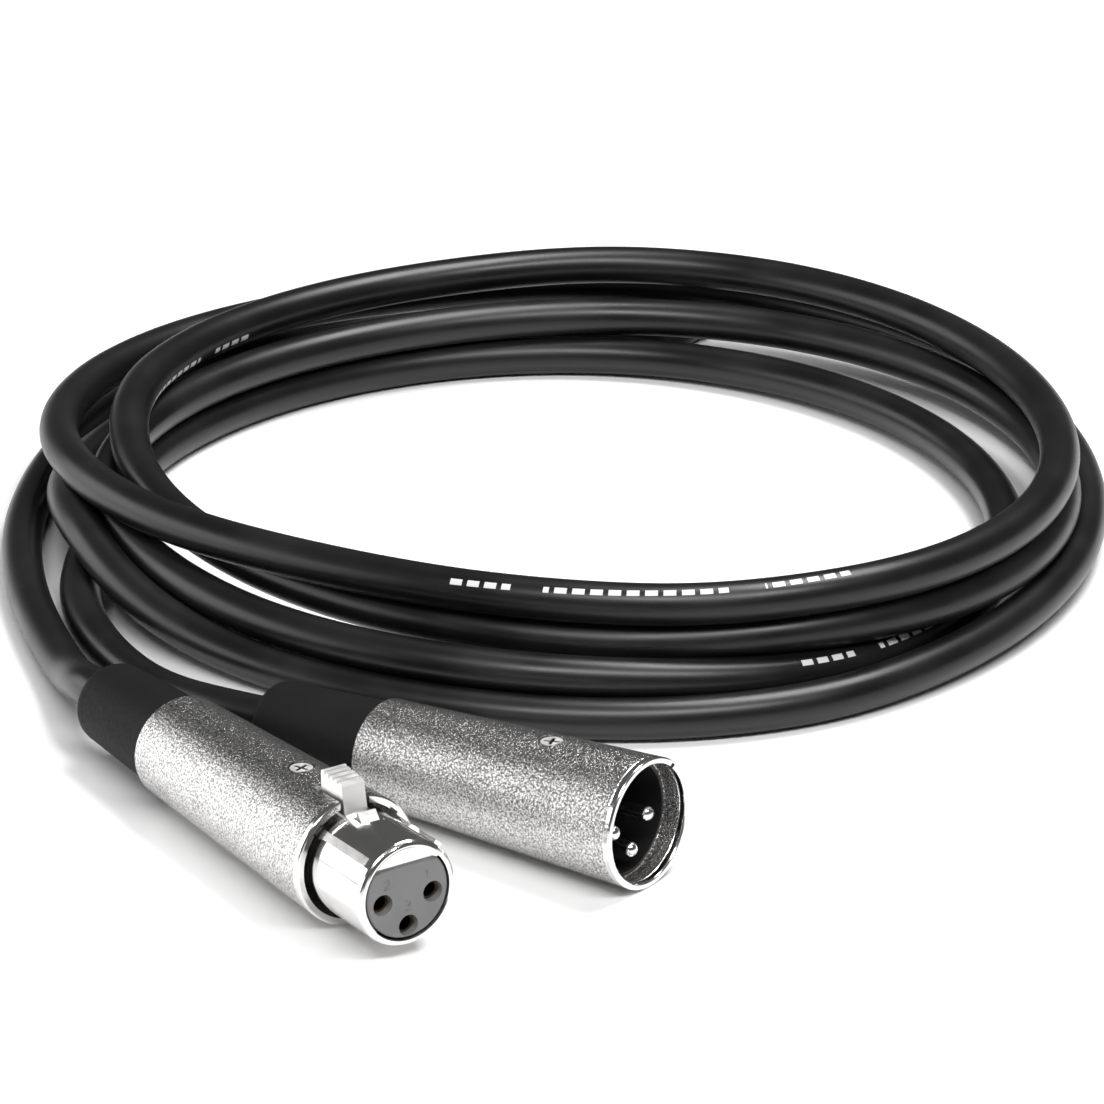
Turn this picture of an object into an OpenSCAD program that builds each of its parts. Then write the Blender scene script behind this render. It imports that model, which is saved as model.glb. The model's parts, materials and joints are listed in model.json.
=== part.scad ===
// Coiled microphone cable with a latching three-socket connector and a three-pin connector.
// Millimetres, +Z up. The origin is on the surface that the cable lies on, under the middle
// of the whole assembly's outline. Each connector is drawn in its own frame: +X runs along
// its axis and out of its mouth, +Z is its top, and X = 0 is the plane of the barrel's rim.

/* [Cable] */
// Outside diameter of the cable's jacket
cable_d = 6.5; // [6.2:0.1:6.5]
// Inner radius of the pile of turns
coil_inner_r = 60; // [56:1:66]
// Outer radius of the pile of turns
coil_outer_r = 91; // [88:1:94]
// Height of the pile of turns, three layers of cable
coil_h = 19; // [13:0.5:26]

/* [Barrels] */
// Outer radius of a barrel at its mouth
mouth_r = 9.7; // [9.6:0.05:9.8]
// Outer radius of a barrel at its rear end
rear_r = 7.9; // [7.8:0.05:8.1]
// Length of the socket connector's barrel
socket_barrel_l = 48.6; // [48:0.1:52]
// Length of the pin connector's barrel
pin_barrel_l = 48.1; // [48:0.1:52]
// Outer diameter of the round recess that a retaining screw sits in
screw_recess_d = 3.9; // [3.8:0.1:4.2]

/* [Socket connector] */
// Outer radius of the nose that enters the mating shell
nose_r = 7.85; // [7.8:0.01:7.9]
// How far the nose stands out of the barrel
nose_l = 13.4; // [13:0.1:14]
// Outer radius of the insulating insert
insert_r = 6.5; // [6.4:0.05:6.6]
// Radius of each socket's bore
socket_bore_r = 1.2; // [1.18:0.01:1.25]
// Width of the latch's thumb tab
tab_w = 3.7; // [3:0.1:4]

/* [Pin connector] */
// Radius of each contact pin
pin_r = 1.18; // [1.15:0.01:1.2]
// How far the pins' tips sit behind the rim
pin_recess = 2.5; // [2:0.1:3.5]
// Inner radius of the cavity that takes the mating nose
cavity_r = 8.1; // [8.05:0.05:8.15]
// Depth of that cavity behind the rim
cavity_depth = 14; // [13.6:0.1:14]

/* [Boots] */
// Outer radius of a boot where it meets the barrel
boot_front_r = 7.2; // [7:0.1:7.5]
// Outer radius of a boot at the cable end
boot_rear_r = 6.3; // [5.8:0.1:6.6]
// Length of a boot behind the barrel
boot_l = 21; // [18:0.5:22]

/* [Hidden] */
$fn = 64;

// Colours
nickel = "#b9b8b4";
bright = "#d8d7d3";
black_plastic = "#1c1c1e";
grey_plastic = "#5c5d60";
jacket = "#151516";
gold = "#c9a54a";
red_wire = "#a3231f";
white_wire = "#e4e2dc";
copper = "#b5734a";

// Where each connector lies: the centre of its mouth, its heading and its pitch
female_mouth = [-27.2, -125.2, 9.7];
female_heading = -56.2;
female_pitch = 1;
male_mouth = [13.8, -113.3, 9.7];
male_heading = -37;
male_pitch = 2.1;

// Contact layout, seen from the front of the socket connector: Y across, Z up
contact_side = 4.05;
contact_up = -0.7;
contact_low = -4.75;
contact_sites = [[contact_side, contact_up], [-contact_side, contact_up], [0, contact_low]];

// Cable
cable_r = cable_d / 2;
coil_y = 24;
tube_sides = 10;

// Clearance between pieces that fit together without moving
snug = 0.05;
// Extra length that carries a cut clear of the face it passes through
over = 0.1;

// Socket connector
rim_round = 0.35;
rim_land = 1;
nose_rear_x = -20;
nose_step_x = -8.2;
nose_body_r = nose_r + 0.1;
nose_bore_r = insert_r + 0.3;
front_bore_r = nose_r + 0.75;
front_bore_l = 8;
body_bore_r = nose_body_r + 0.1;
body_bore_l = 24;
rear_bore_r = 6.7;
lip_r = 0.9;
flat_z = 4;
moon_recess = 0.8;
insert_rear_x = -10;
insert_hole_r = 1.55;
contact_r = 1.5;
contact_front_x = 12;
bore_l = 11.5;
cup_r = 0.95;
cup_l = 3;
socket_cup_x = -14;
key_w = 1.3;
key_h = 0.5;
key_angle = 45;
socket_screw_x = -14.3;

// Latch: the lever lies in a channel along the top of the nose shell
pivot_x = -10;
pivot_z = 6.4;
knuckle_r = 1;
latch_pin_r = 0.6;
latch_pin_l = 8;
lever_low_z = 6;
lever_top_z = 7.1;
channel_w = tab_w + 0.5;
channel_rear_x = -11.6;
channel_floor_z = 4.7;
bridge_rear_x = 0.9;
bridge_front_x = 2.3;
bridge_low_z = 7.3;
window_front_x = 4.9;
window_w = 3.5;
tab_rear_x = -5.9;
slot_w = tab_w + 1;
slot_l = 7.6;
groove_count = 4;
groove_w = 0.4;
groove_depth = 0.5;

// Pin connector
male_mouth_bore_r = 8.7;
cup_front_x = -3.8;
cup_outer_r = cavity_r + 0.45;
cup_rear_x = -cavity_depth - 0.5;
plug_r = 7.5;
plug_rear_x = -19;
pin_shoulder_r = 1.6;
pin_cup_x = -23;
keyway_angle = 40;
keyway_w = 0.8;
keyway_depth = 0.6;
male_screw_x = -17;

// Parts that both connectors share
jacket_end_x = -30;
clamp_x = [-42, -34];
clamp_r = 6.5;
clamp_gap = 0.8;
clamp_screw_side = 4.6;
clamp_screw_r = 0.7;
clamp_head_r = 0.95;
clamp_shoulder_z = 2.3;
collar_r = 6.5;
collar_l = 5.5;
boot_round = 2;
wire_r = 0.6;
wire_gather = 0.32;
wire_lead = 1;
lug_w = 4;
lug_t = 0.4;

// Stretches of cable that lie free. Each route is a list of centreline points on or just
// above the surface; the first point of a tail is worked out from the boot it leaves.
female_route = [[-69, -62, 8.2], [-72.5, -52, 5.5], [-78, -33, 3.6], [-82, -17, 3.3], [-84.5, -2, 3.3]];
male_route = [[-48, -67, 6.6], [-58, -56, 4.6], [-68, -38, 3.4], [-73.5, -20, 3.3]];
bight_in = [[-52, 97, 3.3], [-40, 111, 3.3], [-24, 125, 3.3], [-8, 135, 3.3]];
bight_centre = [10, 120, 3.3];
bight_r = 17.5;
bight_step = 30;

// ---------- helpers ----------

function unit(v) = v / norm(v);

// Unit vector along a connector's axis, out of its mouth
function axis_of(heading, pitch) =
    [cos(pitch) * cos(heading), cos(pitch) * sin(heading), sin(pitch)];

// Centre of the cable where it leaves a boot
function boot_exit(mouth, heading, pitch, barrel_l) =
    mouth - (barrel_l + boot_l) * axis_of(heading, pitch);

// Points of an arc about c, for profiles given as [radius, x]
function arc(c, r, from, to, steps) =
    [for (i = [0:steps]) let (a = from + (to - from) * i / steps) c + r * [cos(a), sin(a)]];

function tangent(p, i) = unit(p[min(i + 1, len(p) - 1)] - p[max(i - 1, 0)]);

// One ring of a swept tube, square to its route
function ring(p, i, r, n) =
    let (t = tangent(p, i), s = unit(cross(t, [0, 0, 1])), u = cross(s, t))
    [for (k = [0:n - 1]) p[i] + r * (cos(360 * k / n) * s + sin(360 * k / n) * u)];

module tube(p, r, n) {
    last = (len(p) - 1) * n;
    walls = [
        for (i = [0:len(p) - 2], k = [0:n - 1])
            let (a = i * n + k, b = i * n + (k + 1) % n)
            each [[a, b, b + n], [a, b + n, a + n]]
    ];
    rear_cap = [[for (k = [n - 1:-1:0]) k]];
    front_cap = [[for (k = [0:n - 1]) last + k]];
    polyhedron([for (i = [0:len(p) - 1]) each ring(p, i, r, n)], concat(walls, rear_cap, front_cap));
}

// A round bar or cone along X from x0 to x1
module bar(x0, x1, r0, r1 = undef) {
    translate([x0, 0, 0])
        rotate([0, 90, 0])
            cylinder(h = x1 - x0, r1 = r0, r2 = is_undef(r1) ? r0 : r1);
}

// A solid turned about X from a profile of [radius, x] points
module turned(profile) {
    rotate([0, 90, 0])
        rotate_extrude()
            polygon(profile);
}

// A box between two values on each axis
module block(x, y, z) {
    translate([x[0], y[0], z[0]])
        cube([x[1] - x[0], y[1] - y[0], z[1] - z[0]]);
}

// A plate of width w across Y, from an outline of [x, z] points
module plate(outline, w) {
    rotate([90, 0, 0])
        linear_extrude(height = w, center = true)
            polygon(outline);
}

module at_site(site) {
    translate([0, site[0], site[1]])
        children();
}

module in_female() {
    translate(female_mouth)
        rotate([0, -female_pitch, female_heading])
            children();
}

module in_male() {
    translate(male_mouth)
        rotate([0, -male_pitch, male_heading])
            children();
}

// ---------- pieces that both connectors use ----------

// Outer profile of a tapered barrel, rear end first, with a rounded rim
function barrel_outline(l) =
    concat(
        [[rear_r - 0.4, -l], [rear_r, -l + 0.4]],
        arc([mouth_r - rim_round, -rim_round], rim_round, 0, 90, 4)
    );

module screw_recess(x) {
    translate([x, 0, rear_bore_r])
        cylinder(h = mouth_r, d = screw_recess_d);
}

// A short cross-head screw: its head fills the barrel's recess, its shank grips the piece inside
module retaining_screw(x, seat_z, head_h, shank_l) {
    head_r = screw_recess_d / 2 - snug;
    cross_w = 0.5;
    cross_l = 2.4;
    translate([x, 0, seat_z])
        difference() {
            union() {
                cylinder(h = head_h, r = head_r);
                translate([0, 0, -shank_l])
                    cylinder(h = shank_l + over, r = 0.9);
            }
            for (turn = [20, 110])
                rotate([0, 0, turn])
                    translate([-cross_l / 2, -cross_w / 2, head_h - cross_w])
                        cube([cross_l, cross_w, 1]);
        }
}

module screw_shank_hole(x, low_z) {
    translate([x, 0, low_z])
        cylinder(h = mouth_r, r = 0.9 + snug);
}

// Moulded boot: a tapered sleeve behind the barrel with a collar that plugs into it
module boot(barrel_l) {
    rear_x = -barrel_l - boot_l;
    turned(concat(
        [[cable_r + snug, rear_x], [boot_rear_r - boot_round, rear_x]],
        arc([boot_rear_r - boot_round, rear_x + boot_round], boot_round, -90, 0, 6),
        [[boot_front_r, -barrel_l], [collar_r, -barrel_l], [collar_r, -barrel_l + collar_l]],
        [[cable_r + snug, -barrel_l + collar_l]]
    ));
}

// Jacketed end of the cable, from the stripped end inside the barrel to the boot's rear face
module cable_end(barrel_l) {
    bar(-barrel_l - boot_l, jacket_end_x, cable_r);
}

// Two halves that close on the jacket inside the barrel
module clamp_halves() {
    difference() {
        bar(clamp_x[0], clamp_x[1], clamp_r);
        bar(clamp_x[0] - over, clamp_x[1] + over, cable_r + snug);
        block([clamp_x[0] - over, clamp_x[1] + over], [-clamp_r, clamp_r], [-clamp_gap / 2, clamp_gap / 2]);
        for (side = [-1, 1]) {
            translate([(clamp_x[0] + clamp_x[1]) / 2, side * clamp_screw_side, -clamp_r])
                cylinder(h = 2 * clamp_r, r = clamp_screw_r + snug);
            translate([(clamp_x[0] + clamp_x[1]) / 2, side * clamp_screw_side, clamp_shoulder_z])
                cylinder(h = clamp_r, r = clamp_head_r + 0.1);
        }
    }
}

module clamp_screws() {
    for (side = [-1, 1])
        translate([(clamp_x[0] + clamp_x[1]) / 2, side * clamp_screw_side, -3.5]) {
            cylinder(h = 3.5 + clamp_shoulder_z + over, r = clamp_screw_r);
            translate([0, 0, 3.5 + clamp_shoulder_z])
                cylinder(h = 0.8, r = clamp_head_r);
        }
}

// A conductor from the stripped end of the cable into a contact's solder cup
module wire(site, cup_x) {
    side = [0, site[0], site[1]];
    start = [jacket_end_x + snug, 0, 0] + wire_gather * side;
    cup = [cup_x - wire_r, 0, 0] + side;
    tube([start, start + [wire_lead, 0, 0], cup, cup + [cup_l, 0, 0]], wire_r, tube_sides);
}

// Cuts a solder cup into the rear end of a contact and opens its upper side
module solder_cup(x) {
    bar(x - over, x + cup_l, cup_r);
    block([x - over, x + cup_l - 0.6], [-2, 2], [0.2, 2]);
}

// ---------- socket connector ----------

module female_barrel() {
    color(nickel)
        in_female()
            difference() {
                turned(concat(
                    barrel_outline(socket_barrel_l),
                    [[front_bore_r, 0], [front_bore_r, -front_bore_l], [body_bore_r, -front_bore_l]],
                    [[body_bore_r, -body_bore_l], [rear_bore_r, -body_bore_l]],
                    [[rear_bore_r, -socket_barrel_l]]
                ));
                block([-slot_l, over], [-slot_w / 2, slot_w / 2], [nose_r, mouth_r + 1]);
                for (side = [-1, 1])
                    rotate([side * key_angle, 0, 0])
                        block([-rim_land, over], [-key_w / 2 - 0.3, key_w / 2 + 0.3], [nose_r, front_bore_r + 0.3]);
                screw_recess(socket_screw_x);
            }
}

// Die-cast nose: a tube with a rounded lip, a web over the insert's flat, two keys,
// the latch's channel and window, and a body that the retaining screw holds
module female_nose_shell() {
    color(bright)
        in_female()
            difference() {
                union() {
                    turned(concat(
                        [[nose_bore_r, nose_rear_x], [nose_body_r, nose_rear_x]],
                        [[nose_body_r, nose_step_x], [nose_r, nose_step_x]],
                        arc([nose_r - lip_r, nose_l - lip_r], lip_r, 0, 90, 6),
                        [[nose_bore_r, nose_l - 0.1]]
                    ));
                    intersection() {
                        bar(nose_rear_x, nose_l - moon_recess, nose_bore_r + 0.1);
                        block([nose_rear_x, nose_l], [-nose_r, nose_r], [flat_z + snug, nose_r]);
                    }
                    for (side = [-1, 1])
                        rotate([side * key_angle, 0, 0])
                            block([nose_step_x + 1, nose_l - 1.2], [-key_w / 2, key_w / 2],
                                  [nose_bore_r + 0.5, nose_r + key_h]);
                }
                block([channel_rear_x, window_front_x], [-channel_w / 2, channel_w / 2],
                      [channel_floor_z, bridge_low_z]);
                block([channel_rear_x, bridge_rear_x], [-channel_w / 2, channel_w / 2],
                      [bridge_low_z - over, nose_r + 1]);
                block([bridge_front_x, window_front_x], [-window_w / 2, window_w / 2],
                      [bridge_low_z - over, nose_r + 1]);
                translate([pivot_x, nose_r, pivot_z])
                    rotate([90, 0, 0])
                        cylinder(h = 2 * nose_r, r = latch_pin_r + 0.02);
                screw_shank_hole(socket_screw_x, flat_z + 1.2);
                rotate([142, 0, 0])
                    block([1.2, 7.4], [-0.3, 0.3], [insert_r, nose_r + 1]);
            }
}

module female_insert() {
    color(grey_plastic)
        in_female()
            difference() {
                intersection() {
                    turned([[0, insert_rear_x], [insert_r, insert_rear_x], [insert_r, nose_l - 0.3],
                            [insert_r - 0.2, nose_l - 0.1], [0, nose_l - 0.1]]);
                    block([insert_rear_x, nose_l], [-insert_r, insert_r], [-insert_r, flat_z]);
                }
                for (site = contact_sites)
                    at_site(site)
                        bar(insert_rear_x - over, nose_l, insert_hole_r);
            }
}

// One socket: a tube that grips the mating pin, with a solder cup at the rear
module female_contact(site) {
    color(gold)
        in_female()
            at_site(site)
                difference() {
                    bar(socket_cup_x, contact_front_x, contact_r);
                    bar(contact_front_x - bore_l, contact_front_x + over, socket_bore_r);
                    solder_cup(socket_cup_x);
                }
}

module female_contact_1() {
    female_contact(contact_sites[0]);
}

module female_contact_2() {
    female_contact(contact_sites[1]);
}

module female_contact_3() {
    female_contact(contact_sites[2]);
}

// Latch lever: a knuckle on the pivot pin, a strip under the nose's bridge, a ribbed thumb
// tab that stands up through the barrel's slot, and a wedge-shaped hook in the nose's window
module latch_lever() {
    tab_top_z = 12.3;
    tab_front_z = 11.7;
    tab_front_x = -0.5;
    tab_slope = (tab_top_z - tab_front_z) / (tab_front_x - tab_rear_x);
    groove_pitch = (tab_front_x - tab_rear_x) / (groove_count + 1);
    color(bright)
        in_female()
            difference() {
                union() {
                    translate([pivot_x, tab_w / 2, pivot_z])
                        rotate([90, 0, 0])
                            cylinder(h = tab_w, r = knuckle_r);
                    plate([[pivot_x, lever_low_z - 0.2], [tab_rear_x, lever_low_z], [2.5, lever_low_z],
                           [2.5, lever_top_z], [pivot_x, lever_top_z]], tab_w);
                    plate([[tab_rear_x, lever_top_z - over], [tab_rear_x, tab_top_z - 0.3],
                           [tab_rear_x + 0.4, tab_top_z], [tab_front_x - 0.2, tab_front_z],
                           [tab_front_x, tab_front_z - 0.3], [0.3, lever_top_z - over]], tab_w);
                    plate([[2, lever_low_z], [2, lever_top_z], [2.65, lever_top_z], [2.7, 8.6],
                           [3, 8.65], [4.5, 6.8], [4.5, 6.2], [4.2, lever_low_z]], window_w - 0.6);
                }
                for (i = [1:groove_count])
                    translate([tab_rear_x + i * groove_pitch, 0, tab_top_z - i * groove_pitch * tab_slope])
                        cube([groove_w, tab_w + 1, 2 * groove_depth], center = true);
                translate([pivot_x, tab_w, pivot_z])
                    rotate([90, 0, 0])
                        cylinder(h = 2 * tab_w, r = latch_pin_r + 0.05);
            }
}

module latch_pin() {
    color(bright)
        in_female()
            translate([pivot_x, latch_pin_l / 2, pivot_z])
                rotate([90, 0, 0])
                    cylinder(h = latch_pin_l, r = latch_pin_r);
}

// V-shaped leaf spring between the channel's floor and the lever
module latch_spring() {
    low = channel_floor_z + snug;
    high = lever_low_z - snug;
    leaf = 0.25;
    color(bright)
        in_female()
            plate([[-8.6, low], [-1.6, low], [-1.6, low + leaf], [-8.2, low + leaf],
                   [-1.6, high - leaf], [-1.6, high], [-8.6, low + 2 * leaf]], 3);
}

module female_retaining_screw() {
    color(bright)
        in_female()
            retaining_screw(socket_screw_x, nose_body_r + snug, 0.95, 2);
}

// Earth lug: a plate behind the insert with a tongue along the nose shell's web
module female_ground_lug() {
    x = insert_rear_x - 0.1;
    color(bright)
        in_female() {
            block([x - lug_t, x], [-lug_w / 2, lug_w / 2], [0.6, flat_z - snug]);
            block([x - 7, x], [-lug_w / 2, lug_w / 2], [flat_z - snug - lug_t, flat_z - snug]);
        }
}

module female_clamp() {
    color(black_plastic)
        in_female()
            clamp_halves();
}

module female_clamp_screws() {
    color(bright)
        in_female()
            clamp_screws();
}

module female_boot() {
    color(black_plastic)
        in_female()
            boot(socket_barrel_l);
}

module female_cable_end() {
    color(jacket)
        in_female()
            cable_end(socket_barrel_l);
}

module female_wire_shield() {
    color(copper)
        in_female()
            wire(contact_sites[0], socket_cup_x);
}

module female_wire_red() {
    color(red_wire)
        in_female()
            wire(contact_sites[1], socket_cup_x);
}

module female_wire_white() {
    color(white_wire)
        in_female()
            wire(contact_sites[2], socket_cup_x);
}

// ---------- pin connector ----------

module male_barrel() {
    color(nickel)
        in_male()
            difference() {
                turned(concat(
                    barrel_outline(pin_barrel_l),
                    arc([male_mouth_bore_r + rim_round, -rim_round], rim_round, 90, 180, 4),
                    [[male_mouth_bore_r, cup_front_x], [cup_outer_r + snug, cup_front_x]],
                    [[cup_outer_r + snug, cup_rear_x - snug], [plug_r + 0.1, cup_rear_x - snug]],
                    [[plug_r + 0.1, plug_rear_x - 0.5], [rear_bore_r, plug_rear_x - 0.5]],
                    [[rear_bore_r, -pin_barrel_l]]
                ));
                rotate([-keyway_angle, 0, 0])
                    block([cup_front_x, over], [-keyway_w / 2, keyway_w / 2],
                          [cavity_r, male_mouth_bore_r + keyway_depth]);
                screw_recess(male_screw_x);
            }
}

// Insulating cup: a thin liner around the cavity and a thick floor that holds the pins
module male_insert() {
    color(black_plastic)
        in_male()
            difference() {
                turned([[0, plug_rear_x], [plug_r, plug_rear_x], [plug_r, cup_rear_x],
                        [cup_outer_r, cup_rear_x], [cup_outer_r, cup_front_x], [cavity_r, cup_front_x],
                        [cavity_r, -cavity_depth], [0, -cavity_depth]]);
                for (site = contact_sites)
                    at_site(site)
                        bar(plug_rear_x - over, -cavity_depth + over, pin_shoulder_r + snug);
                rotate([-keyway_angle, 0, 0])
                    block([-cavity_depth + 1, 0], [-keyway_w / 2, keyway_w / 2], [cavity_r - 0.5, mouth_r]);
                screw_shank_hole(male_screw_x, 5);
            }
}

// One pin: a round-ended contact, a shoulder in the insert's floor and a solder cup
module male_pin(site) {
    color(gold)
        in_male()
            at_site(site) {
                translate([-pin_recess - pin_r, 0, 0])
                    sphere(r = pin_r);
                bar(-cavity_depth, -pin_recess - pin_r, pin_r);
                difference() {
                    bar(pin_cup_x, -cavity_depth, pin_shoulder_r);
                    solder_cup(pin_cup_x);
                }
            }
}

module male_pin_1() {
    male_pin(contact_sites[0]);
}

module male_pin_2() {
    male_pin(contact_sites[1]);
}

module male_pin_3() {
    male_pin(contact_sites[2]);
}

module male_retaining_screw() {
    color(bright)
        in_male()
            retaining_screw(male_screw_x, plug_r + snug, 1.2, 2.2);
}

// Earth lug: a plate behind the insert's floor with a tongue towards the cable
module male_ground_lug() {
    x = plug_rear_x - 0.1;
    color(bright)
        in_male() {
            block([x - lug_t, x], [-lug_w / 2, lug_w / 2], [-1.5, 3]);
            block([x - 7, x], [-lug_w / 2, lug_w / 2], [3 - lug_t, 3]);
        }
}

module male_clamp() {
    color(black_plastic)
        in_male()
            clamp_halves();
}

module male_clamp_screws() {
    color(bright)
        in_male()
            clamp_screws();
}

module male_boot() {
    color(black_plastic)
        in_male()
            boot(pin_barrel_l);
}

module male_cable_end() {
    color(jacket)
        in_male()
            cable_end(pin_barrel_l);
}

module male_wire_shield() {
    color(copper)
        in_male()
            wire(contact_sites[0], pin_cup_x);
}

module male_wire_red() {
    color(red_wire)
        in_male()
            wire(contact_sites[1], pin_cup_x);
}

module male_wire_white() {
    color(white_wire)
        in_male()
            wire(contact_sites[2], pin_cup_x);
}

// ---------- cable ----------

// Outer shape of the pile of turns
module cable_coil() {
    color(jacket)
        translate([0, coil_y, 0])
            rotate_extrude()
                translate([coil_inner_r, 0])
                    square([coil_outer_r - coil_inner_r, coil_h]);
}

// Free cable from the socket connector's boot into the pile
module female_tail() {
    exit = boot_exit(female_mouth, female_heading, female_pitch, socket_barrel_l);
    color(jacket)
        tube(concat([exit], female_route), cable_r, tube_sides);
}

// Free cable from the pin connector's boot into the pile
module male_tail() {
    exit = boot_exit(male_mouth, male_heading, male_pitch, pin_barrel_l);
    color(jacket)
        tube(concat([exit], male_route), cable_r, tube_sides);
}

// The loop behind the pile where the cable turns back on itself
module rear_bight() {
    turn = [
        for (a = [90:-bight_step:-30])
            bight_centre + bight_r * [cos(a), sin(a), 0]
    ];
    color(jacket)
        tube(concat(bight_in, turn), cable_r, tube_sides);
}

female_barrel();
female_nose_shell();
female_insert();
female_contact_1();
female_contact_2();
female_contact_3();
latch_lever();
latch_pin();
latch_spring();
female_retaining_screw();
female_ground_lug();
female_clamp();
female_clamp_screws();
female_boot();
female_cable_end();
female_wire_shield();
female_wire_red();
female_wire_white();
male_barrel();
male_insert();
male_pin_1();
male_pin_2();
male_pin_3();
male_retaining_screw();
male_ground_lug();
male_clamp();
male_clamp_screws();
male_boot();
male_cable_end();
male_wire_shield();
male_wire_red();
male_wire_white();
cable_coil();
female_tail();
male_tail();
rear_bight();
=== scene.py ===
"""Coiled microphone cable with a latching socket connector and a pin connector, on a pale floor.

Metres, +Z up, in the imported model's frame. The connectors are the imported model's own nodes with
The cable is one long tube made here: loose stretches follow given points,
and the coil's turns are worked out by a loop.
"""
import json
import math

import bpy
import numpy as np
from mathutils import Matrix, Vector


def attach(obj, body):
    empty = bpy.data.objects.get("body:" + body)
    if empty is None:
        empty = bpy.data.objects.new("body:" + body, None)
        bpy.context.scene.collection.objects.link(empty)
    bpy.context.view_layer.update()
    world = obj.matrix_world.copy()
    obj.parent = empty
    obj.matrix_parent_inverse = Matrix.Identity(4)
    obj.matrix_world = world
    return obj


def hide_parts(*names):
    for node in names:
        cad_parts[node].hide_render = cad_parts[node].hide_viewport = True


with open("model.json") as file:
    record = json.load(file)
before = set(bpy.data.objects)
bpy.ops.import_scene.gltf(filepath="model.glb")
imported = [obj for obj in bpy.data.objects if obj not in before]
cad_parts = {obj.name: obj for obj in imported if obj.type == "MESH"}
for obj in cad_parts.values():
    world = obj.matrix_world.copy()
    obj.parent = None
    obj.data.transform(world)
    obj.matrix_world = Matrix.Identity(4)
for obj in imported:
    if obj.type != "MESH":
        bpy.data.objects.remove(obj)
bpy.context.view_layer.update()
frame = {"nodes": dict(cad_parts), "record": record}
MM = 0.001
ROOT = "cable_and_connectors"

# ---------- camera ----------

CAMERA_AT = Vector((0, -0.8211, 0.34297))
CAMERA_TILT = math.radians(67.6)
CAMERA_LENS = 180.5

camera_data = bpy.data.cameras.new("camera")
camera_data.lens = CAMERA_LENS
camera_data.sensor_width = 36
camera = bpy.data.objects.new("camera", camera_data)
camera.location = CAMERA_AT
camera.rotation_euler = (CAMERA_TILT, 0, 0)
bpy.context.scene.collection.objects.link(camera)
bpy.context.scene.camera = camera

# ---------- where the connectors lie ----------


class Connector:
    """A connector's own frame: x along its axis and out of its mouth, z at its top."""

    def __init__(self, mouth, heading, pitch, barrel_length, boot_length=21):
        turn = Matrix.Rotation(math.radians(heading), 4, "Z") @ Matrix.Rotation(math.radians(-pitch), 4, "Y")
        self.matrix = Matrix.Translation(Vector(mouth) * MM) @ turn
        self.axis = (turn @ Vector((1, 0, 0))).normalized()
        self.up = (turn @ Vector((0, 0, 1))).normalized()
        self.mouth = Vector(mouth) * MM
        self.boot_exit = self.place(-barrel_length - boot_length, 0, 0)

    def place(self, x, y, z):
        """A point of the connector's frame, given in millimetres, in the row frame."""
        return self.matrix @ (Vector((x, y, z)) * MM)


SOCKET = Connector(mouth=(-27.2, -125.2, 9.7), heading=-56.2, pitch=1, barrel_length=48.6)
PIN = Connector(mouth=(13.8, -113.3, 9.7), heading=-37, pitch=2.1, barrel_length=48.1)

# ---------- the cable's route, in millimetres until it is made ----------

CABLE_D = 6.5
LIE = 3.3
COIL_MIDDLE = (0, 24)

# Loose stretches, from the socket connector round the left side to the loop at the back
SOCKET_ROUTE = [(-69, -62, 8.2), (-72.5, -52, 5.5), (-78, -33, 3.6), (-82, -17, 3.3), (-84.5, -2, 3.3)]
OUTER_ROUTE = [(-85.5, 12, 3.3), (-85, 26, 3.3), (-82, 45, 3.3), (-75, 66, 3.3), (-65, 83, 3.3)]
BIGHT_ROUTE = [(-52, 97, 3.3), (-40, 111, 3.3), (-24, 125, 3.3), (-8, 135, 3.3)]
BIGHT_CENTRE = (10, 120)
BIGHT_R = 17.5
BIGHT_STEP = 30
AFTER_BIGHT = [(-10, 100.5, 3.3)]
PIN_ROUTE = [(-48, -67, 6.6), (-58, -56, 4.6), (-68, -38, 3.4), (-73.5, -20, 3.3)]

# The coil, anticlockwise, one row for each half turn: how far its centre stands from the
# coil's middle in x and y, its radius, how much its oval leans, and the height of the cable's middle
HALF_TURNS = [
    (-2, 0, 78, 0, 3.3),
    (4, -1, 82, -2, 3.4),
    (1, 2, 87, 4, 9),
    (3, 5, 79, -11, 14.8),
    (6, 6, 76, 3, 15.5),
    (7, 2.5, 78, -6, 10),
    (4, -5, 77, 3, 9),
    (3, -8, 76, -4, 6),
    (-2, 0, 70, 2, 3.3),
]
# The first turn rises over the pin connector's end of the cable: heading, rise and spread
HUMP_AT = 195
HUMP_RISE = 6.2
HUMP_SPREAD = 24
FIRST_MIDDLE = 90
COIL_START = 120
COIL_END = 1620
COIL_STEP = 15


def coil_points():
    """The coil's centreline: each half turn's circle blends into the next."""
    points = []
    for heading in range(COIL_START, COIL_END + 1, COIL_STEP):
        place = min((heading - FIRST_MIDDLE) / 180, len(HALF_TURNS) - 1)
        first = min(int(place), len(HALF_TURNS) - 2)
        here, after = np.array(HALF_TURNS[first]), np.array(HALF_TURNS[first + 1])
        shift_x, shift_y, radius, lean, height = here + (after - here) * (place - first)
        angle = math.radians(heading)
        radius += lean * math.sin(2 * angle)
        height += HUMP_RISE * math.exp(-(((heading - HUMP_AT) / HUMP_SPREAD) ** 2))
        x = COIL_MIDDLE[0] + shift_x + radius * math.cos(angle)
        y = COIL_MIDDLE[1] + shift_y + radius * math.sin(angle)
        points.append((x, y, height))
    return points


def bight_points():
    points = []
    for heading in range(90, -91, -BIGHT_STEP):
        angle = math.radians(heading)
        x = BIGHT_CENTRE[0] + BIGHT_R * math.cos(angle)
        y = BIGHT_CENTRE[1] + BIGHT_R * math.sin(angle)
        points.append((x, y, LIE))
    return points


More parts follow.
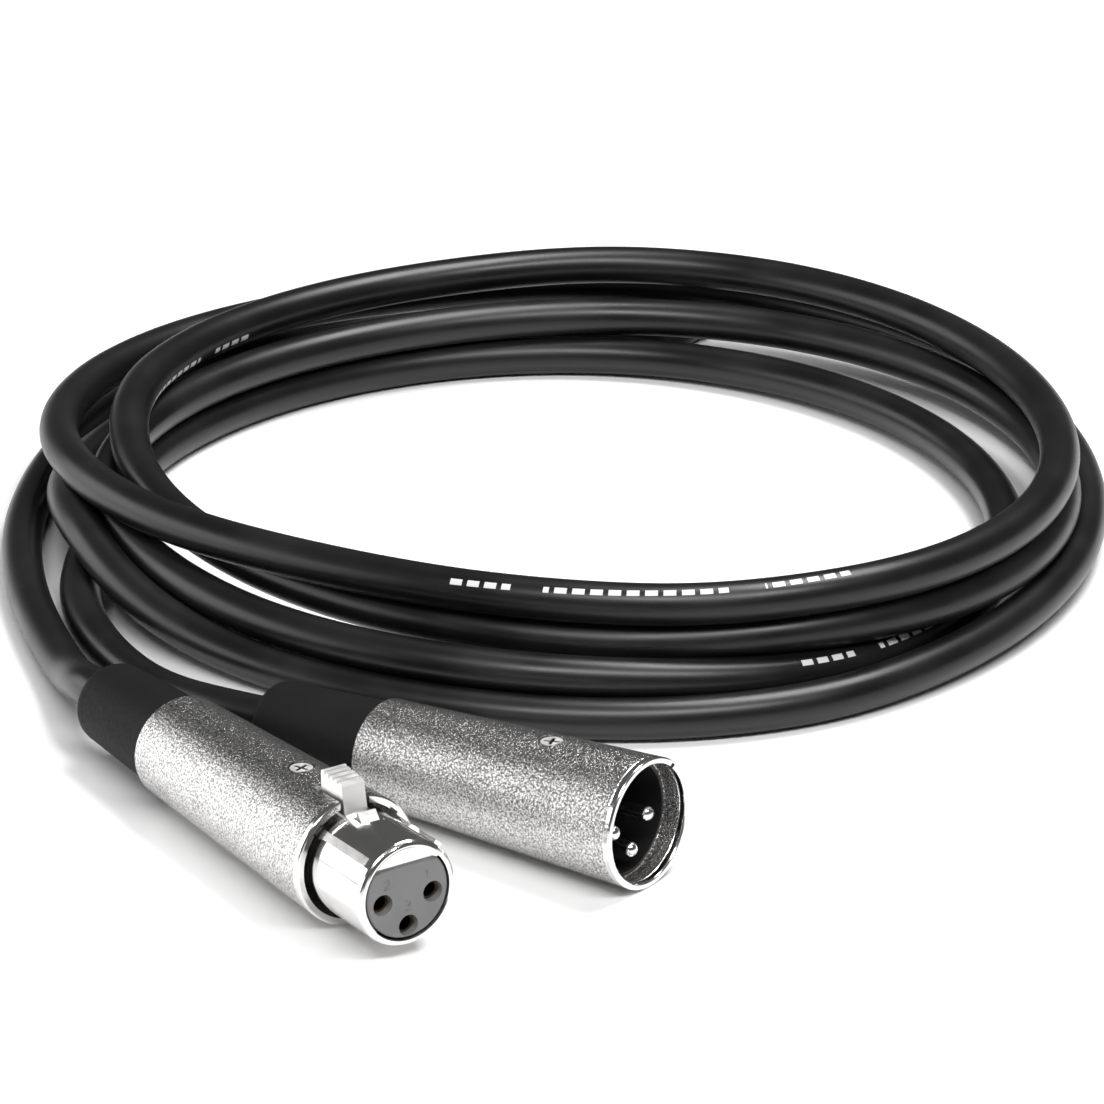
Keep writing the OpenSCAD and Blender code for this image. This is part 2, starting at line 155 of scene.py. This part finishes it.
def route():
    start = [tuple(SOCKET.boot_exit / MM)]
    end = [tuple(PIN.boot_exit / MM)]
    loose = SOCKET_ROUTE + OUTER_ROUTE + BIGHT_ROUTE + bight_points() + AFTER_BIGHT
    return np.array(start + loose + coil_points() + PIN_ROUTE[::-1] + end, float)


SAMPLES_PER_POINT = 80


def smooth_line(points, spacing):
    """A natural cubic spline through the points, as points an even distance apart."""
    along = np.concatenate([[0], np.cumsum(np.linalg.norm(np.diff(points, axis=0), axis=1))])
    count, gap = len(points), np.diff(along)
    system, right = np.zeros((count, count)), np.zeros((count, 3))
    system[0, 0] = system[-1, -1] = 1
    for i in range(1, count - 1):
        system[i, i - 1:i + 2] = gap[i - 1], 2 * (gap[i - 1] + gap[i]), gap[i]
        right[i] = 6 * ((points[i + 1] - points[i]) / gap[i] - (points[i] - points[i - 1]) / gap[i - 1])
    curvature = np.linalg.solve(system, right)
    at = np.linspace(0, along[-1], SAMPLES_PER_POINT * count)
    k = np.clip(np.searchsorted(along, at, side="right") - 1, 0, count - 2)
    width = gap[k][:, None]
    a, b = (along[k + 1] - at)[:, None] / width, (at - along[k])[:, None] / width
    bend = ((a**3 - a) * curvature[k] + (b**3 - b) * curvature[k + 1]) * width**2 / 6
    fine = a * points[k] + b * points[k + 1] + bend
    length = np.concatenate([[0], np.cumsum(np.linalg.norm(np.diff(fine, axis=0), axis=1))])
    even = np.linspace(0, length[-1], int(round(length[-1] / spacing)) + 1)
    return np.stack([np.interp(even, length, fine[:, axis]) for axis in range(3)], 1)


SETTLE_ROUNDS = 400
# In cable diameters: points nearer than this along the cable never push each other
NEIGHBOURS_APART = 2.2
# In cable diameters: strands nearer than this, from middle to middle, are pushed towards it
TOUCHING = 1.015
TINY = 1e-6
PUSH = 1.6
SOFTENING = 3
FORGET = 0.002
FIXED_ENDS = 3
END_FADE = 6
FLOOR_GAP = 0.02


def settle(target, spacing):
    """Pushes strands apart where they would pass through each other, for a set number of rounds."""
    count = len(target)
    first, second = np.triu_indices(count, math.ceil(NEIGHBOURS_APART * CABLE_D / spacing))
    to_end = np.minimum(np.arange(count), np.arange(count)[::-1])
    free = np.clip((to_end - FIXED_ENDS) / END_FADE, 0, 1)[:, None]
    apart = TOUCHING * CABLE_D
    moved = np.zeros_like(target)
    for _ in range(SETTLE_ROUNDS):
        line = target + moved
        between = line[second] - line[first]
        squared = np.einsum("ij,ij->i", between, between)
        near = np.where(squared < apart**2)[0]
        distance = np.sqrt(squared[near])
        step = between[near] * ((apart - distance) / np.maximum(distance, TINY))[:, None] / 2
        total, touching = np.zeros_like(line), np.zeros(count)
        np.add.at(total, second[near], step)
        np.add.at(total, first[near], -step)
        np.add.at(touching, second[near], 1)
        np.add.at(touching, first[near], 1)
        moved += PUSH * total / np.maximum(touching, 1)[:, None]
        for _ in range(SOFTENING):
            padded = np.pad(moved, ((1, 1), (0, 0)), mode="edge")
            moved = moved / 2 + (padded[:-2] + padded[2:]) / 4
        moved *= free * (1 - FORGET)
        moved[:, 2] = np.maximum(moved[:, 2], CABLE_D / 2 + FLOOR_GAP - target[:, 2])
    return target + moved


# ---------- the cable's tube ----------

SPACING = 3
FINE_SPACING = 1.5
TUBE_SIDES = 28
# The cable rolls as it is wound: how far along it, in metres, and there the printed line's
# angle above the coil's outer side, in degrees
ROLL = [
    (0, -80), (0.6, -10), (1.08, 40), (1.13, 60), (1.38, 190), (1.49, 205),
    (1.78, 0), (2.1, 50), (2.18, 55), (2.4, -70), (2.6, -70),
]


def tube(name, line, radius):
    """A closed round tube along a line, given in millimetres and made in metres. Its UV is the
    length along it, in metres, and the turn round it, which is 0 where the printed dashes run."""
    ahead = np.gradient(line, axis=0)
    ahead /= np.linalg.norm(ahead, axis=1)[:, None]
    side = np.cross(ahead, (0, 0, 1))
    side /= np.linalg.norm(side, axis=1)[:, None]
    top = np.cross(side, ahead)
    along = np.concatenate([[0], np.cumsum(np.linalg.norm(np.diff(line, axis=0), axis=1))])
    places, degrees = zip(*ROLL)
    lean = np.radians(np.interp(along * MM, places, degrees))
    rings = []
    for k in range(TUBE_SIDES):
        angle = (lean + 2 * math.pi * k / TUBE_SIDES)[:, None]
        rings.append(line + radius * (np.cos(angle) * side + np.sin(angle) * top))
    points = np.stack(rings, 1).reshape(-1, 3) * MM
    along = along * MM
    faces, uvs = [], []
    for i in range(len(line) - 1):
        for k in range(TUBE_SIDES):
            beside = (k + 1) % TUBE_SIDES
            row, next_row = i * TUBE_SIDES, (i + 1) * TUBE_SIDES
            faces.append((row + k, next_row + k, next_row + beside, row + beside))
            low, high = k / TUBE_SIDES, (k + 1) / TUBE_SIDES
            uvs += [(along[i], low), (along[i + 1], low), (along[i + 1], high), (along[i], high)]
    for row, order in ((0, range(TUBE_SIDES)), (len(line) - 1, range(TUBE_SIDES - 1, -1, -1))):
        faces.append([row * TUBE_SIDES + k for k in order])
        uvs += [(along[row], 0.5)] * TUBE_SIDES
    mesh = bpy.data.meshes.new(name)
    mesh.from_pydata([tuple(p) for p in points], [], faces)
    layer = mesh.uv_layers.new(name="length_and_turn")
    layer.data.foreach_set("uv", np.array(uvs, np.float32).ravel())
    mesh.shade_smooth()
    piece = bpy.data.objects.new(name, mesh)
    bpy.context.scene.collection.objects.link(piece)
    return piece


cable_line = smooth_line(settle(smooth_line(route(), SPACING), SPACING), FINE_SPACING)
cable = tube("cable", cable_line, CABLE_D / 2)

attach(cable, ROOT)
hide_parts("cable_coil", "female_tail", "male_tail", "rear_bight")

# ---------- materials ----------


class Nodes:
    """A material's node tree, with short ways to add and join nodes."""

    def __init__(self, name):
        self.material = bpy.data.materials.new(name)
        self.material.use_nodes = True
        self.tree = self.material.node_tree
        self.shader = self.tree.nodes["Principled BSDF"]

    def add(self, kind, inputs=None, **settings):
        node = self.tree.nodes.new(kind)
        for key, value in settings.items():
            setattr(node, key, value)
        for key, value in (inputs or {}).items():
            self.join(value, node.inputs[key])
        return node

    def join(self, value, socket):
        if isinstance(value, bpy.types.NodeSocket):
            self.tree.links.new(value, socket)
        else:
            socket.default_value = value

    def math(self, operation, first, second=0.0, third=0.0):
        return self.add("ShaderNodeMath", {0: first, 1: second, 2: third}, operation=operation).outputs[0]

    def noise(self, scale, detail=3.0, roughness=0.5, vector=None):
        where = vector or self.add("ShaderNodeTexCoord").outputs["Object"]
        inputs = {"Vector": where, "Scale": scale, "Detail": detail, "Roughness": roughness}
        return self.add("ShaderNodeTexNoise", inputs).outputs["Fac"]

    def spread(self, value, low, high, to_low, to_high):
        inputs = {0: value, 1: low, 2: high, 3: to_low, 4: to_high}
        return self.add("ShaderNodeMapRange", inputs).outputs[0]

    def mix(self, factor, first, second):
        node = self.add("ShaderNodeMix", data_type="RGBA")
        self.join(factor, node.inputs[0])
        self.join(first, node.inputs[6])
        self.join(second, node.inputs[7])
        return node.outputs[2]

    def bump(self, height, distance, strength=1.0):
        inputs = {"Height": height, "Distance": distance, "Strength": strength}
        normal = self.add("ShaderNodeBump", inputs).outputs["Normal"]
        self.join(normal, self.shader.inputs["Normal"])

    def set(self, **values):
        for key, value in values.items():
            self.join(value, self.shader.inputs[key.replace("_", " ")])


def grey(value, warm=0.0):
    return (value * (1 + warm), value, value * (1 - warm), 1)


def way_from(nodes, point):
    """The way from a point of the row frame to each point of the surface."""
    where = nodes.add("ShaderNodeTexCoord").outputs["Object"]
    return nodes.add("ShaderNodeVectorMath", {0: where, 1: tuple(point)}, operation="SUBTRACT").outputs[0]


def along(nodes, way, direction):
    """How far a way reaches in one direction, in metres."""
    inputs = {0: way, 1: tuple(direction)}
    return nodes.add("ShaderNodeVectorMath", inputs, operation="DOT_PRODUCT").outputs["Value"]


def satin_nickel(name, connector):
    """Blasted nickel plate: a fine sparkling grain that stops at the smooth rim."""
    nodes = Nodes(name)
    grain = nodes.noise(3300, detail=2, roughness=0.6)
    pits = nodes.noise(6500, detail=2, roughness=0.5)
    cloud = nodes.noise(90, detail=2)
    before_mouth = along(nodes, way_from(nodes, connector.mouth), connector.axis)
    grained = nodes.spread(before_mouth, -0.0012, -0.0010, 1, 0)
    tone = nodes.spread(grain, 0.40, 0.60, 0, 1)
    tone = nodes.math("MULTIPLY_ADD", cloud, 0.1, tone)
    colour = nodes.mix(tone, grey(0.20, 0.01), grey(0.86, 0.015))
    height = nodes.math("MULTIPLY_ADD", pits, 0.4, grain)
    nodes.set(
        Base_Color=nodes.mix(grained, grey(0.80, 0.01), colour),
        Metallic=1.0,
        Roughness=nodes.math("MULTIPLY_ADD", grained, 0.12, 0.14),
    )
    nodes.bump(nodes.math("MULTIPLY", height, grained), 0.00016, 0.8)
    return nodes.material


def screw_top(connector, screw):
    """The middle of the top of a connector's retaining screw, in the row frame."""
    to_connector = connector.matrix.inverted() @ screw.matrix_world
    points = [to_connector @ vertex.co for vertex in screw.data.vertices]
    middle_x = (min(p.x for p in points) + max(p.x for p in points)) / 2
    return connector.matrix @ Vector((middle_x, 0, max(p.z for p in points)))


def screw_head(name, connector, screw):
    """Bright screw head, with painted shade round its edge and down in its cross."""
    nodes = Nodes(name)
    way = way_from(nodes, screw_top(connector, screw))
    from_middle = nodes.add("ShaderNodeVectorMath", {0: way}, operation="LENGTH").outputs["Value"]
    # Painted shade: the colour turns near black beyond the head's edge and down in the cross slot, where
    # shade falls in the recesses
    edge = nodes.spread(from_middle, 0.0016, 0.0017, 0, 1)
    cross = nodes.spread(along(nodes, way, connector.up), -0.0002, -0.0001, 1, 0)
    painted_shade = nodes.math("MAXIMUM", edge, cross)
    marks = nodes.noise(900, detail=4, roughness=0.7)
    nodes.set(
        Base_Color=nodes.mix(painted_shade, grey(0.92, 0.01), grey(0.05)),
        Metallic=1.0,
        Roughness=nodes.spread(marks, 0.3, 0.7, 0.40, 0.60),
    )
    nodes.bump(marks, 0.00004, 0.5)
    return nodes.material


def bright_metal(name, colour, roughness, grain=0.00001):
    """Smooth plated metal with faint handling marks."""
    nodes = Nodes(name)
    marks = nodes.noise(600, detail=5, roughness=0.7)
    tone = nodes.spread(nodes.noise(160, detail=2), 0.35, 0.65, 0.92, 1.0)
    dull = tuple(c * 0.9 for c in colour[:3]) + (1,)
    nodes.set(
        Base_Color=nodes.mix(tone, dull, colour),
        Metallic=1.0,
        Roughness=nodes.spread(marks, 0.3, 0.7, roughness * 0.8, roughness * 1.3),
    )
    nodes.bump(marks, grain, 0.3)
    return nodes.material


def plastic(name, colour, roughness, grain_scale, grain_depth, specular=0.5):
    """Moulded plastic or rubber with a fine grain and a little unevenness of tone."""
    nodes = Nodes(name)
    grain = nodes.noise(grain_scale, detail=3)
    tone = nodes.spread(nodes.noise(120, detail=3), 0.3, 0.7, 0, 1)
    light = tuple(min(1, c * 1.25) for c in colour[:3]) + (1,)
    nodes.set(
        Base_Color=nodes.mix(tone, colour, light),
        Roughness=nodes.spread(grain, 0.3, 0.7, roughness - 0.05, roughness + 0.07),
        Specular_IOR_Level=specular,
    )
    nodes.bump(grain, grain_depth, 0.5)
    return nodes.material


PRINT_PERIOD = 0.341
PRINT_START = 0.063
# Where each group of dashes starts and how long it is, in metres
DASH_GROUPS = [(0, 0.0095), (0.0145, 0.0275), (0.0475, 0.0135)]
DASH_PITCH = 0.0027
DASH_SHARE = 0.7
DASH_HALF_WIDTH = 0.024


def jacket(name, printed):
    """Satin black flexible jacket, with one row of plain dashes in groups if it is printed."""
    nodes = Nodes(name)
    fine = nodes.noise(2600, detail=3)
    drawn = nodes.noise(70, detail=2)
    black, soft_black = grey(0.0035), grey(0.007)
    colour = nodes.mix(nodes.spread(drawn, 0.35, 0.65, 0, 1), black, soft_black)
    if printed:
        uv = nodes.add("ShaderNodeSeparateXYZ", {0: nodes.add("ShaderNodeTexCoord").outputs["UV"]})
        length, turn = uv.outputs[0], uv.outputs[1]
        within = nodes.math("FLOORED_MODULO", nodes.math("SUBTRACT", length, PRINT_START), PRINT_PERIOD)
        grouped = 0.0
        for start, extent in DASH_GROUPS:
            after = nodes.math("GREATER_THAN", within, start)
            before = nodes.math("LESS_THAN", within, start + extent)
            grouped = nodes.math("MULTIPLY_ADD", after, before, grouped)
        in_dash = nodes.math("FLOORED_MODULO", within, DASH_PITCH)
        dash = nodes.math("LESS_THAN", in_dash, DASH_PITCH * DASH_SHARE)
        from_line = nodes.math("PINGPONG", turn, 0.5)
        row = nodes.math("LESS_THAN", from_line, DASH_HALF_WIDTH)
        ink = nodes.math("MULTIPLY", nodes.math("MULTIPLY", grouped, dash), row)
        colour = nodes.mix(ink, colour, grey(0.62))
    nodes.set(
        Base_Color=colour,
        Roughness=nodes.spread(drawn, 0.3, 0.7, 0.30, 0.40),
        Specular_IOR_Level=0.42,
    )
    nodes.bump(fine, 0.00002, 0.35)
    return nodes.material


def stranded(name, colour, pitch_scale):
    """Twisted bare copper, shown as fine slanting strands."""
    nodes = Nodes(name)
    where = nodes.add("ShaderNodeTexCoord").outputs["Object"]
    inputs = {"Vector": where, "Scale": pitch_scale, "Distortion": 1.0}
    strands = nodes.add("ShaderNodeTexWave", inputs, bands_direction="DIAGONAL").outputs["Fac"]
    dark = tuple(c * 0.5 for c in colour[:3]) + (1,)
    nodes.set(Base_Color=nodes.mix(strands, dark, colour), Metallic=1.0, Roughness=0.35)
    nodes.bump(strands, 0.00005, 0.6)
    return nodes.material


black_print = jacket("cable_jacket_printed", True)
MATERIALS = {
    "nickel_bright": bright_metal("nickel_bright", grey(0.80, 0.015), 0.13),
    "worn_nickel": bright_metal("worn_nickel", grey(0.86, 0.01), 0.40, 0.00002),
    "spring_steel": bright_metal("spring_steel", grey(0.55), 0.3, 0.00002),
    # The gold contacts are darkened far below gold's own colour, as painted shade for the contact holes
    "contact_gold": bright_metal("contact_gold", (0.17, 0.125, 0.06, 1), 0.35),
    "contact_silver": bright_metal("contact_silver", grey(0.84), 0.16),
    "shield_copper": stranded("shield_copper", (0.72, 0.42, 0.25, 1), 900),
    "grey_plastic": plastic("grey_plastic", grey(0.15), 0.55, 1800, 0.00002, 0.35),
    "black_plastic": plastic("black_plastic", grey(0.010), 0.42, 1800, 0.00001),
    "boot_rubber": plastic("boot_rubber", grey(0.006), 0.62, 1500, 0.00003, 0.14),
    "cable_jacket": jacket("cable_jacket", False),
    "wire_red": plastic("wire_red", (0.45, 0.03, 0.03, 1), 0.3, 900, 0.00001),
    "wire_white": plastic("wire_white", (0.75, 0.74, 0.71, 1), 0.3, 900, 0.00001),
}
SCREWS = {name: frame["nodes"][name] for name in ("female_retaining_screw", "male_retaining_screw")}
# Nodes whose finish differs from the rest of their slot; the screw heads also carry painted shade
SPECIAL = {
    "latch_lever": MATERIALS["worn_nickel"],
    "female_retaining_screw": screw_head("screw_head_socket", SOCKET, SCREWS["female_retaining_screw"]),
    "male_retaining_screw": screw_head("screw_head_pin", PIN, SCREWS["male_retaining_screw"]),
    "female_barrel": satin_nickel("nickel_satin_socket", SOCKET),
    "male_barrel": satin_nickel("nickel_satin_pin", PIN),
}


SHARP_ANGLE = math.radians(32)


def give(piece, material):
    piece.data.materials.clear()
    piece.data.materials.append(material)


for part in frame["record"]["subparts"]:
    node = frame["nodes"][part["node"]]
    give(node, SPECIAL.get(part["node"]) or MATERIALS[part["material_slot"]])
    node.data.shade_smooth()
    node.data.set_sharp_from_angle(angle=SHARP_ANGLE)
give(cable, black_print)

# ---------- contact numbers on the socket connector's face ----------

NUMBER_H = 1.5
NUMBER_LINE = 0.09
FACE_X = 13.3
# Each number is a stroke of [across, up] points, one unit high, and stands beside its contact
NUMBERS = {
    "contact_number_1": ([(-0.15, 0.75), (0.08, 1), (0.08, 0)], (3.1, 1.5)),
    "contact_number_2": (
        [(-0.3, 0.72), (-0.2, 0.94), (0, 1), (0.22, 0.93), (0.28, 0.72), (0.15, 0.47), (-0.3, 0), (0.32, 0)],
        (-3.3, 1.5),
    ),
    "contact_number_3": (
        [
            (-0.28, 0.93), (0, 1), (0.25, 0.88), (0.25, 0.65), (0, 0.53),
            (0.28, 0.38), (0.28, 0.14), (0, 0), (-0.3, 0.08),
        ],
        (0.0, -2.5),
    ),
}
for name, (stroke, place) in NUMBERS.items():
    curve = bpy.data.curves.new(name, "CURVE")
    curve.dimensions = "3D"
    curve.bevel_depth = NUMBER_LINE * MM
    curve.bevel_resolution = 2
    curve.use_fill_caps = True
    spline = curve.splines.new("POLY")
    spline.points.add(len(stroke) - 1)
    for point, (across, up) in zip(spline.points, stroke):
        at = SOCKET.place(FACE_X, place[0] + across * NUMBER_H, place[1] + up * NUMBER_H)
        point.co = (*at, 1)
    number = bpy.data.objects.new(name, curve)
    bpy.context.scene.collection.objects.link(number)
    curve.materials.append(MATERIALS["grey_plastic"])
    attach(number, ROOT)

# ---------- floor and light ----------

FLOOR_SIZE = 8

floor_mesh = bpy.data.meshes.new("floor")
half = FLOOR_SIZE / 2
corners = [(-half, -half, 0), (half, -half, 0), (half, half, 0), (-half, half, 0)]
floor_mesh.from_pydata(corners, [], [(0, 1, 2, 3)])
floor = bpy.data.objects.new("floor", floor_mesh)
bpy.context.scene.collection.objects.link(floor)
floor_nodes = Nodes("floor")
floor_nodes.set(Base_Color=grey(0.92), Roughness=0.28, Specular_IOR_Level=0.35)
give(floor, floor_nodes.material)


def softbox(name, at, towards, width, height, power):
    data = bpy.data.lights.new(name, "AREA")
    data.shape = "RECTANGLE"
    data.size, data.size_y, data.energy = width, height, power
    lamp = bpy.data.objects.new(name, data)
    lamp.location = at
    lamp.rotation_euler = (Vector(towards) - Vector(at)).to_track_quat("-Z", "Y").to_euler()
    bpy.context.scene.collection.objects.link(lamp)


WORLD_LIGHT = 0.1
world = bpy.data.worlds.new("studio")
world.use_nodes = True
world.node_tree.nodes["Background"].inputs["Color"].default_value = grey(1.0)
world.node_tree.nodes["Background"].inputs["Strength"].default_value = WORLD_LIGHT
bpy.context.scene.world = world
bpy.context.scene.view_settings.view_transform = "Standard"
softbox("back", (0.35, 0.25, 1.1), (0, 0.03, 0), 0.6, 0.5, 14)
softbox("front", (0.1, -0.75, 1.0), (0, 0, 0), 1.2, 0.25, 15)
softbox("left", (-1.0, 0.05, 0.28), (0, 0, 0.02), 1.5, 0.5, 6)
